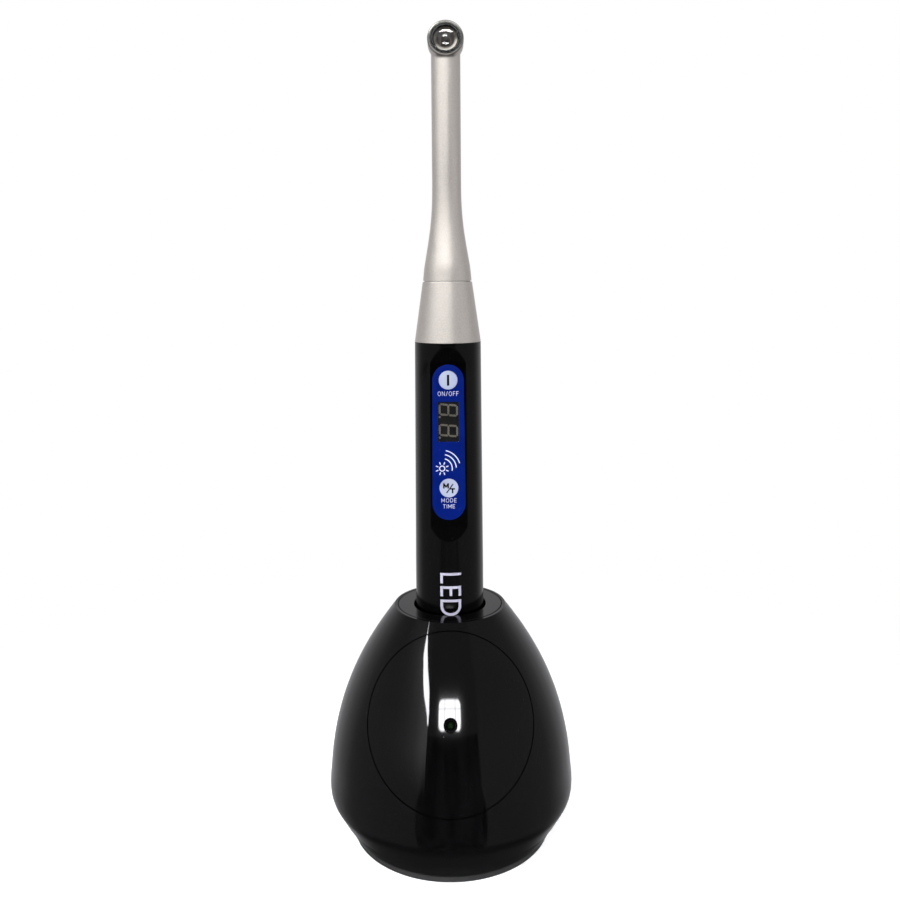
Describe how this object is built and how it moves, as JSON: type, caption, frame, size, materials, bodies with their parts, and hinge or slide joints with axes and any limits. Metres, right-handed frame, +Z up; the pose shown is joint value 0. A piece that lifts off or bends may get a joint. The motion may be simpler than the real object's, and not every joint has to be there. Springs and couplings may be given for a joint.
{
  "type": "curing light",
  "caption": "Pen-shaped dental curing light with a round light head on a turning neck, standing in a bell-shaped charging stand.",
  "frame": {"origin": "on the table, at the centre of the stand's foot ring", "axes": "+Z up along the handpiece, -Y towards the control face and the light's front"},
  "size_m": [0.0906, 0.0904, 0.3018],
  "materials": {
    "shell_black": "glossy black moulded plastic",
    "socket_black": "glossy black moulded plastic",
    "lower_ring_black": "satin black moulded plastic",
    "foot_rubber": "matt rubber",
    "pad_rubber": "soft rubber",
    "plain_steel": "zinc-plated steel",
    "spring_steel": "drawn wire",
    "contact_gold": "gold-plated brass",
    "board_green": "solder mask",
    "chip_black": "moulded",
    "inner_black": "moulded",
    "wire_red": "wire insulation",
    "lamp_green": "green tinted, clear",
    "handle_black": "black anodised, polished",
    "cap_black": "moulded",
    "label_blue": "printed film",
    "window_smoke": "smoked acrylic",
    "display_black": "display body",
    "segment_grey": "unlit segments",
    "button_white": "white moulded",
    "cell_sleeve": "shrink sleeve",
    "seal_rubber": "nitrile",
    "champagne_metal": "bead-blasted, champagne anodised",
    "bezel_chrome": "polished",
    "lens_glass": "clear",
    "reflector_bright": "vacuum plated",
    "emitter_yellow": "phosphor and clear dome",
    "copper": "copper",
    "washer_white": "PTFE",
    "insulator_cream": "moulded"
  },
  "bodies": {
    "dock": {"base_shell": "shell_black", "front_panel": "shell_black", "socket_cup": "socket_black", "socket_lock_ring": "inner_black", "socket_pad": "pad_rubber", "base_plate": "lower_ring_black", "foot_ring": "foot_rubber", "ballast_plate": "plain_steel", "base_screws": "plain_steel", "dock_pcb": "board_green", "dock_pcb_parts": "chip_black", "pcb_screws": "plain_steel", "contact_block": "inner_black", "pin_spring_centre": "spring_steel", "pin_spring_outer": "spring_steel", "indicator_led": "lamp_green", "led_holder": "inner_black", "led_wires": "wire_red", "dc_jack_body": "inner_black", "dc_jack_contacts": "contact_gold", "jack_wires": "wire_red"},
    "charge_pin_a": {"charge_pin_centre": "contact_gold"},
    "charge_pin_b": {"charge_pin_outer": "contact_gold"},
    "handpiece": {"handle_tube": "handle_black", "control_overlay": "label_blue", "display_window": "window_smoke", "display_module": "display_black", "display_segments": "segment_grey", "tact_switches": "chip_black", "control_pcb": "board_green", "control_pcb_parts": "chip_black", "pcb_carrier": "inner_black", "carrier_screws": "plain_steel", "battery_cell": "cell_sleeve", "battery_top_contact": "contact_gold", "battery_spring": "spring_steel", "battery_leads": "wire_red", "tail_cap": "cap_black", "tail_ring_contact": "contact_gold", "tail_centre_contact": "contact_gold", "tail_seal": "seal_rubber", "collar": "champagne_metal", "jack_socket": "insulator_cream", "socket_wires": "wire_red"},
    "power_button": {"power_button_cap": "button_white", "power_switch_plunger": "inner_black"},
    "mode_button": {"mode_button_cap": "button_white", "mode_switch_plunger": "inner_black"},
    "light_head": {"neck": "champagne_metal", "head_bezel": "bezel_chrome", "light_lens": "lens_glass", "reflector": "reflector_bright", "led_emitter": "emitter_yellow", "led_board": "copper", "heat_slug": "copper", "light_wires": "wire_red", "neck_plug_sleeve": "contact_gold", "neck_plug_insulator": "insulator_cream", "neck_plug_tip": "contact_gold", "swivel_washer": "washer_white"}
  },
  "joints": [
    {"name": "handpiece_lift", "type": "slide", "parent": "dock", "child": "handpiece", "axis": [0, 0, 1], "range_m": [0, 0.06]},
    {"name": "head_turn", "type": "hinge", "parent": "handpiece", "child": "light_head", "pos_m": [0, 0, 0.204], "axis": [0, 0, 1], "continuous": true},
    {"name": "power_button_press", "type": "slide", "parent": "handpiece", "child": "power_button", "axis": [0, 1, 0], "range_m": [0, 0.00025], "stiffness_N_per_m": 400, "springref_m": -0.0006},
    {"name": "mode_button_press", "type": "slide", "parent": "handpiece", "child": "mode_button", "axis": [0, 1, 0], "range_m": [0, 0.00025], "stiffness_N_per_m": 400, "springref_m": -0.0006},
    {"name": "centre_pin_press", "type": "slide", "parent": "dock", "child": "charge_pin_a", "axis": [0, 0, 1], "range_m": [-0.001, 0], "stiffness_N_per_m": 300, "springref_m": 0.002, "deforming": ["pin_spring_centre"]},
    {"name": "outer_pin_press", "type": "slide", "parent": "dock", "child": "charge_pin_b", "axis": [0, 0, 1], "range_m": [-0.001, 0], "stiffness_N_per_m": 300, "springref_m": 0.002, "deforming": ["pin_spring_outer"]}
  ]
}
